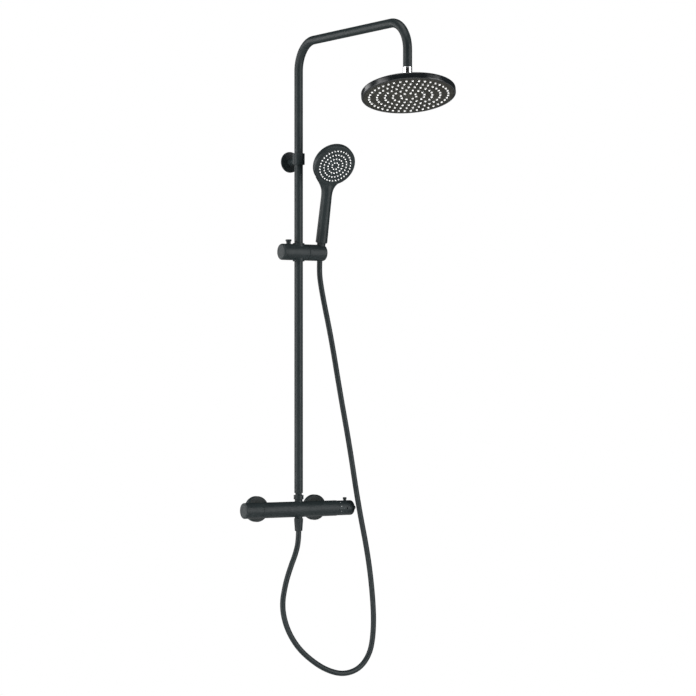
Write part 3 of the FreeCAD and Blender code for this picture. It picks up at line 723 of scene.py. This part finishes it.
def make_rain_head():
    place = head_place()
    rim = 13.2
    shell = turned("rain_head_shell", [
        (HEAD_PLATE_R + 0.3, 2.8), (HEAD_PLATE_R + 0.3, 0, 0.4), (HEAD_R, 0, 1.8), (HEAD_R, rim, 3.0),
        (60, 14.6, 20), (24, 16.5, 6), (17.5, 20, 3), (17.5, 27, 0.8), (11.2, 27), (11.2, 14),
        (HEAD_R - 6, 9), (HEAD_R - 3, 7), (HEAD_R - 3, 2.8),
    ], place, 192, closed=True)
    finish(smooth(shell), "rain_head", "gloss_black", "head_back_shell")
    plate = turned("rain_head_face", [
        (0, 0), (HEAD_PLATE_R, 0, 0.7), (HEAD_PLATE_R, 2.6), (0, 2.6),
    ], place, 192)
    holes = cluster("cutter", [
        (0, -1), (NOZZLE_R + 1.1, -1), (NOZZLE_R + 1.1, 0), (NOZZLE_R + 0.25, 0.7),
        (NOZZLE_R + 0.25, 4), (0, 4),
    ], head_points(), place, 20)
    cut(plate, holes)
    finish(smooth(plate, math.radians(25)), "rain_head", "spray_face", "head_face_plate")
    nozzles = cluster("rain_head_nozzles", [
        (0, -1.4), (0.4, -1.4), (0.5, -1.6, 0.1), (NOZZLE_R * 0.95, -1.5, 0.3), (NOZZLE_R, 0.6, 0.5),
        (NOZZLE_R + 0.1, 2.75), (0, 2.75),
    ], head_points(), place, 20)
    mat = turned("nozzle_mat_base", [(0, 2.72), (88, 2.72), (88, 4.2, 0.3), (0, 4.2)], place, 128)
    finish(smooth(mat), "rain_head", "white_silicone", "head_nozzle_mat")
    finish(smooth(nozzles, math.radians(50)), "rain_head", "white_silicone")
    nut = turned("head_swivel_nut", [
        (11.3, 27.3), (17.2, 27.3, 0.8), (17.2, 38.5, 1.5), (13.6, 41, 1.2), (8.0, 41, 0.5), (11.3, 33.5),
    ], place, 96, closed=True)
    finish(smooth(nut), "rain_head", "gloss_black", "ball_retaining_nut")


# Slider and holder

SLIDER_R = 18.0
BOSS_R = 13.0
BOSS_HALF = 20.0
slider_z = pivot("holder_tilt").z
SLIDER = Vector((0, axis_y, slider_z))


def make_slider():
    left, seam = extent("slider_body", 0)
    release_x = middle("release_button").x
    along = placed(SLIDER, X_AXIS)
    body = turned("slider_barrel", [(0, left), (SLIDER_R, left), (SLIDER_R, seam), (0, seam)], along, 128)
    boss = turned("boss", [
        (0, -BOSS_HALF), (BOSS_R, -BOSS_HALF), (BOSS_R, BOSS_HALF), (0, BOSS_HALF),
    ], placed(SLIDER), 96)
    softened(joined(body, boss), 0.4, 4)
    riser_hole = drill(11.1, -25, 25, placed(SLIDER), 96)
    release_hole = drill(5.2, 0, 25, placed((release_x, axis_y, slider_z)), 64)
    cut(body, riser_hole, release_hole)
    finish(smooth(body), "slider", "satin_black", "slider_body")
    bush = turned("slider_guide", [
        (TUBE_R + 0.12, -19.5, 0.4), (11.0, -19.5, 0.3), (11.0, 19.5, 0.3), (TUBE_R + 0.12, 19.5, 0.4),
    ], placed(SLIDER), 96, closed=True)
    finish(smooth(bush), "slider", "black_plastic", "slider_bush")
    cap_left, cap_right = extent("slider_end_cap", 0)
    cap_seam = left - 0.1
    cap = turned("slider_cap", [
        (0, cap_left), (SLIDER_R, cap_left, 4.0), (SLIDER_R, cap_seam, 0.4), (11.9, cap_seam),
        (11.9, cap_right), (0, cap_right),
    ], along, 128)
    finish(smooth(cap), "slider", "black_plastic", "slider_end_cap")
    low, high = extent("release_button", 2)
    low -= slider_z
    high -= slider_z
    button = turned("slider_release", [
        (0, low), (5.0, low, 0.5), (5.0, high - 4.5, 0.4), (6.6, high - 3.9, 0.4), (6.6, high, 0.9),
        (0, high),
    ], placed((release_x, axis_y, slider_z)), 64)
    finish(smooth(button), "release", "black_plastic", "release_button")


HANDLE_LEAN = 11.8
HANDLE_SPIN = -6.06
CONE_LOW = -17.5          # the hose's cone nut, from the holder's axis
CONE_TOP = 22.6
CONE_LOW_R = 7.5
CONE_TOP_R = 9.7


def handle_place():
    socket = pivot("handset_spin")
    return Matrix.Translation(socket * MM) @ Matrix.Rotation(math.radians(HANDLE_LEAN), 4, "X")


def cone_radius(along):
    slope = (CONE_TOP_R - CONE_LOW_R) / (CONE_TOP - CONE_LOW)
    return CONE_LOW_R + (along - CONE_LOW) * slope


def make_holder():
    left = 19.7
    right = extent("handset_holder", 0)[1]
    holder = turned("holder_barrel", [
        (0, left), (SLIDER_R, left, 0.3), (SLIDER_R, right, 4.0), (0, right),
    ], placed(SLIDER, X_AXIS), 128)
    place = handle_place()
    reach = 26.0
    clearance = 0.35
    low_r = cone_radius(-reach) + clearance
    high_r = cone_radius(reach) + clearance
    socket = turned("cutter", [
        (0, -reach), (low_r, -reach), (high_r, reach), (0, reach),
    ], place, 96)
    slot = box_piece((0, -6.5, -reach), (20, 6.5, reach), place)
    cut(holder, socket, slot)
    softened(holder, 0.35, 3)
    finish(smooth(holder), "holder", "satin_black", "handset_holder")


# Handset

HANDSET_R = 48.0
HANDSET_PLATE_R = 41.0
HANDSET_DIP = 19.7
HANDSET_FACE = Vector((0, -27.2, 197.6))
HANDSET_RINGS = ((8, 8.0), (16, 17.2), (24, 26.7), (32, 36.3))
HANDSET_NOZZLE_R = 1.45
HANDSET_NOZZLE_TURN = 17.6
HANDLE_FOOT = 22.8


def handset_points():
    for count, radius in HANDSET_RINGS:
        yield from ring_points(count, radius, HANDSET_NOZZLE_TURN)


def handset_place():
    return handle_place() @ Matrix.Rotation(math.radians(HANDLE_SPIN), 4, "Z")


def handset_face_place():
    dip = Matrix.Rotation(math.radians(-90 + HANDSET_DIP), 4, "X")
    return handset_place() @ Matrix.Translation(HANDSET_FACE * MM) @ dip


def make_handset():
    handle = handset_place()
    face = handset_face_place()
    body = turned("handset_shell", [
        (0, HANDLE_FOOT), (13.05, HANDLE_FOOT, 1.2), (11.9, 128), (0, 128),
    ], handle, 96)
    neck = new_piece("neck", lofted_mesh([
        (112, 0, 11.7, 11.6), (120, 0, 11.7, 11.6), (138, 0.2, 13.0, 11.8), (150, 0, 18.2, 10.8),
        (160, -3, 27.0, 9.0), (168, -6, 34.5, 7.5),
    ]), handle)
    head = turned("head", [
        (0, 0), (HANDSET_R - 1.5, 0, 1.0), (HANDSET_R, 2.5, 1.5), (HANDSET_R, 13, 3),
        (HANDSET_R - 2, 16.5, 2), (HANDSET_R - 8, 19.5, 6), (HANDSET_R - 22, 22.5, 10), (0, 24),
    ], face, 160)
    joined(body, neck, head)
    softened(body, 0.6, 5)
    cut(body, turned("cutter", [
        (0, -2), (HANDSET_PLATE_R + 0.25, -2), (HANDSET_PLATE_R + 0.25, 0.9),
        (HANDSET_PLATE_R - 3, 0.9), (HANDSET_PLATE_R - 3, 6), (0, 6),
    ], face, 160))
    finish(smooth(body), "handset", "satin_black", "handset_body")


def make_handset_face():
    face = handset_face_place()
    plate = turned("handset_face", [
        (0, 0), (HANDSET_PLATE_R, 0, 0.3), (HANDSET_PLATE_R, 0.8), (0, 0.8),
    ], face, 160)
    cut(plate, cluster("cutter", [
        (0, -1), (HANDSET_NOZZLE_R + 0.6, -1), (HANDSET_NOZZLE_R + 0.6, 0),
        (HANDSET_NOZZLE_R + 0.15, 0.4), (HANDSET_NOZZLE_R + 0.15, 2), (0, 2),
    ], handset_points(), face, 20))
    finish(smooth(plate, math.radians(25)), "handset", "black_plastic", "handset_face_plate")
    nozzles = cluster("handset_nozzles", [
        (0, -0.85), (0.3, -0.85), (0.35, -1.0, 0.1), (HANDSET_NOZZLE_R * 0.98, -0.95, 0.2),
        (HANDSET_NOZZLE_R, 0.4, 0.3), (HANDSET_NOZZLE_R, 1.0), (0, 1.0),
    ], handset_points(), face, 20)
    finish(smooth(nozzles, math.radians(50)), "handset", "white_silicone")
    mat = turned("handset_mat_base", [(0, 0.95), (37.9, 0.95), (37.9, 2.2, 0.3), (0, 2.2)], face, 128)
    finish(smooth(mat), "handset", "white_silicone", "handset_nozzle_mat")
    screw = turned("handset_screw_cap", [
        (0, -0.3), (1.2, -0.3), (1.5, -0.6, 0.3), (2.9, -0.6, 0.5), (2.9, 1.5), (0, 1.5),
    ], face, 48)
    finish(smooth(screw), "handset", "black_plastic", "handset_centre_screw")


def make_cone_nut():
    nut = turned("hose_swivel_nut", [
        (6.35, CONE_LOW, 0.2), (CONE_LOW_R, CONE_LOW, 0.5), (CONE_TOP_R, CONE_TOP, 0.5),
        (8.2, CONE_TOP), (8.2, 10.4), (6.35, 10.4),
    ], handle_place(), 96, closed=True)
    finish(smooth(nut), "hose_end", "black_plastic", "hose_cone_nut")


def make_outlet_nut():
    low, high = extent("hose_outlet_nut", 2)
    nut = turned("hose_valve_nut", [
        (7.1, high), (10.1, high, 0.6), (8.3, low, 0.6), (6.2, low, 0.3), (6.2, high - 11), (7.1, high - 11),
    ], placed(BAR), 96, closed=True)
    finish(smooth(nut), "column", "black_plastic", "hose_outlet_nut")


# Hose, in metres

HOSE_R = 0.006
HOSE_ROUTE = [
    (0.0563, -0.0627, 0.575), (0.0563, -0.0539, 0.533), (0.0665, -0.052, 0.478), (0.087, -0.058, 0.378),
    (0.103, -0.069, 0.258), (0.122, -0.080, 0.135), (0.138, -0.089, 0.010), (0.1635, -0.094, -0.115),
    (0.1755, -0.095, -0.222), (0.175, -0.0945, -0.285), (0.1655, -0.094, -0.3275),
    (0.1385, -0.0936, -0.358), (0.097, -0.0928, -0.368), (0.053, -0.091, -0.3555),
    (0.013, -0.0885, -0.330), (-0.020, -0.085, -0.299), (-0.044, -0.081, -0.257),
    (-0.053, -0.077, -0.210), (-0.041, -0.072, -0.163), (-0.025, -0.0675, -0.127),
    (-0.009, -0.0635, -0.097), (-0.0005, -0.0612, -0.071), (0, -0.061, -0.0481),
]


def hose_line():
    """Points read from the route's smooth curve."""
    curve = bpy.data.curves.new("hose_route", "CURVE")
    curve.dimensions = "3D"
    spline = curve.splines.new("NURBS")
    spline.points.add(len(HOSE_ROUTE) - 1)
    for point, place in zip(spline.points, HOSE_ROUTE):
        point.co = (*place, 1)
    spline.order_u = 3
    spline.use_endpoint_u = True
    spline.resolution_u = 10
    holder = bpy.data.objects.new("hose_route", curve)
    bpy.context.scene.collection.objects.link(holder)
    bpy.context.view_layer.update()
    graph = bpy.context.evaluated_depsgraph_get()
    mesh = bpy.data.meshes.new_from_object(holder.evaluated_get(graph))
    points = [vertex.co.copy() for vertex in mesh.vertices]
    bpy.data.meshes.remove(mesh)
    bpy.data.objects.remove(holder)
    return points


def make_hose():
    line = hose_line()
    hose = tube("hose", [point / MM for point in line], HOSE_R / MM, 40, 0.4)
    smooth(hose)
    hose.data.materials.append(looks["hose_pvc"])
    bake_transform(hose)
    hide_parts("shower_hose")


# Floor, light and camera

FLOOR_R = 2500.0
FLOOR_Z = -0.95           # metres, as are the camera's and the lights' places
LIGHT_TARGET = Vector((0, -0.2, 0.35))
CAMERA_PLACE = (-2.847, -4.715, 0.290)
CAMERA_AZIMUTH = -32.6
CAMERA_LENS = 127.86
CAMERA_RISE = 0.0428

def make_floor():
    builder = bmesh.new()
    bmesh.ops.create_circle(builder, cap_ends=True, segments=96, radius=FLOOR_R)
    floor = new_piece("floor", builder, Matrix.Translation((0, 0, FLOOR_Z)))
    floor.data.materials.append(material(
        "floor", (0.78, 0.78, 0.78), (0.82, 0.82, 0.82), (0.7, 0.8), 60, 0.05, blotch=2,
    ))


def area_light(name, azimuth, elevation, distance, size, power):
    """Soft box aimed at the middle of the object; azimuth is measured from the camera's side."""
    turn = math.radians(CAMERA_AZIMUTH + azimuth)
    rise = math.radians(elevation)
    offset = Vector((math.sin(turn) * math.cos(rise), -math.cos(turn) * math.cos(rise), math.sin(rise)))
    data = bpy.data.lights.new(name, "AREA")
    data.shape = "RECTANGLE"
    data.size, data.size_y = size
    data.energy = power
    lamp = bpy.data.objects.new(name, data)
    bpy.context.scene.collection.objects.link(lamp)
    lamp.location = LIGHT_TARGET + offset * distance
    lamp.rotation_euler = (-offset).to_track_quat("-Z", "Y").to_euler()


def make_light():
    area_light("soft_left", -62, 5, 2.6, (1.6, 3.0), 95)
    area_light("soft_right", 62, 5, 2.6, (1.6, 3.0), 95)
    area_light("soft_end", -116, 5, 2.6, (1.2, 2.0), 30)
    area_light("soft_top", 0, 75, 2.8, (2.0, 2.0), 60)
    area_light("soft_low", 0, -35, 2.2, (2.0, 1.0), 30)
    world = bpy.data.worlds.new("studio")
    bpy.context.scene.world = world
    world.use_nodes = True
    tree = world.node_tree
    background = tree.nodes["Background"]
    background.inputs["Color"].default_value = (1, 1, 1, 1)
    seen = tree.nodes.new("ShaderNodeLightPath")
    strength = tree.nodes.new("ShaderNodeMapRange")
    strength.inputs["To Min"].default_value = 0.03
    strength.inputs["To Max"].default_value = 1.0
    tree.links.new(seen.outputs["Is Camera Ray"], strength.inputs["Value"])
    tree.links.new(strength.outputs["Result"], background.inputs["Strength"])


def make_camera():
    data = bpy.data.cameras.new("camera")
    data.sensor_width = 36
    data.lens = CAMERA_LENS
    data.shift_y = CAMERA_RISE
    data.clip_end = 50
    camera = bpy.data.objects.new("camera", data)
    bpy.context.scene.collection.objects.link(camera)
    camera.location = CAMERA_PLACE
    camera.rotation_euler = (math.radians(90), 0, math.radians(CAMERA_AZIMUTH))
    bpy.context.scene.camera = camera


dress_cad_nodes()
make_camera()
make_bar()
make_inlets()
make_diverter_knob()
make_temperature_knob()
make_set_screw()
make_knob_nub()
make_scale_dots()
make_safety_button()
make_riser()
make_bracket()
make_arm()
make_ball_joint()
make_rain_head()
make_slider()
make_holder()
make_handset()
make_handset_face()
make_cone_nut()
make_outlet_nut()
make_hose()
make_floor()
make_light()
bpy.context.scene.view_settings.view_transform = "Standard"
